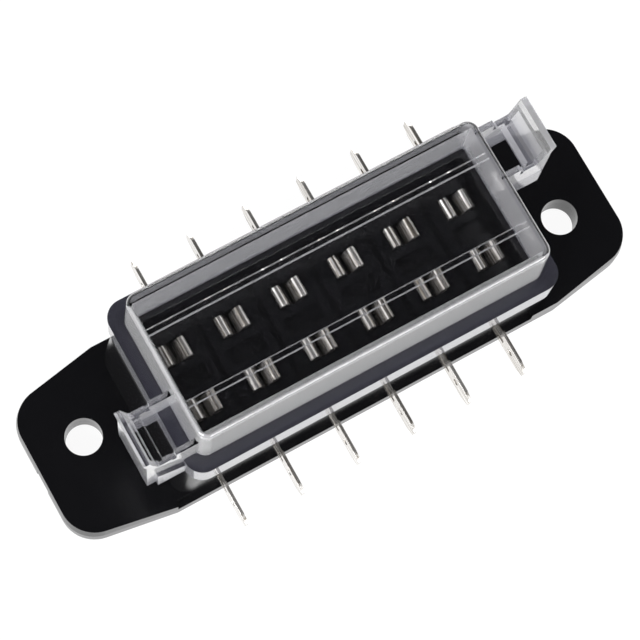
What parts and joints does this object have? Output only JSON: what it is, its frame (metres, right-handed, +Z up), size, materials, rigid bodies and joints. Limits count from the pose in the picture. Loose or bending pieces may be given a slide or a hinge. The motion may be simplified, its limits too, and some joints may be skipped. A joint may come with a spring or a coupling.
{
  "type": "blade fuse block",
  "caption": "Black moulded block that holds a row of blade fuses under a clear lift-off cover, with push-on wire tabs along both long sides and a screw ear at each end.",
  "frame": {"origin": "centre of the underside", "axes": "+X along the row of fuses, +Y across it towards the rear row of tabs, +Z up, the way the cover lifts off"},
  "size_m": [0.1534, 0.0676, 0.0509],
  "materials": {
    "black_moulding": "satin moulded nylon",
    "black_plate": "satin moulded nylon",
    "clear_cover": "clear moulded polycarbonate",
    "plated_terminal": "bright tin plated"
  },
  "bodies": {
    "base": {"housing": "black_moulding", "well_rim": "black_moulding", "ear_left": "black_moulding", "ear_right": "black_moulding", "back_plate": "black_plate", "terminal_front_1": "plated_terminal", "terminal_front_2": "plated_terminal", "terminal_front_3": "plated_terminal", "terminal_front_4": "plated_terminal", "terminal_front_5": "plated_terminal", "terminal_front_6": "plated_terminal", "terminal_rear_1": "plated_terminal", "terminal_rear_2": "plated_terminal", "terminal_rear_3": "plated_terminal", "terminal_rear_4": "plated_terminal", "terminal_rear_5": "plated_terminal", "terminal_rear_6": "plated_terminal"},
    "lid": {"cover": "clear_cover"}
  },
  "joints": [
    {"name": "cover_lift", "type": "slide", "parent": "base", "child": "lid", "axis": [0, 0, 1], "range_m": [0, 0.03]}
  ]
}
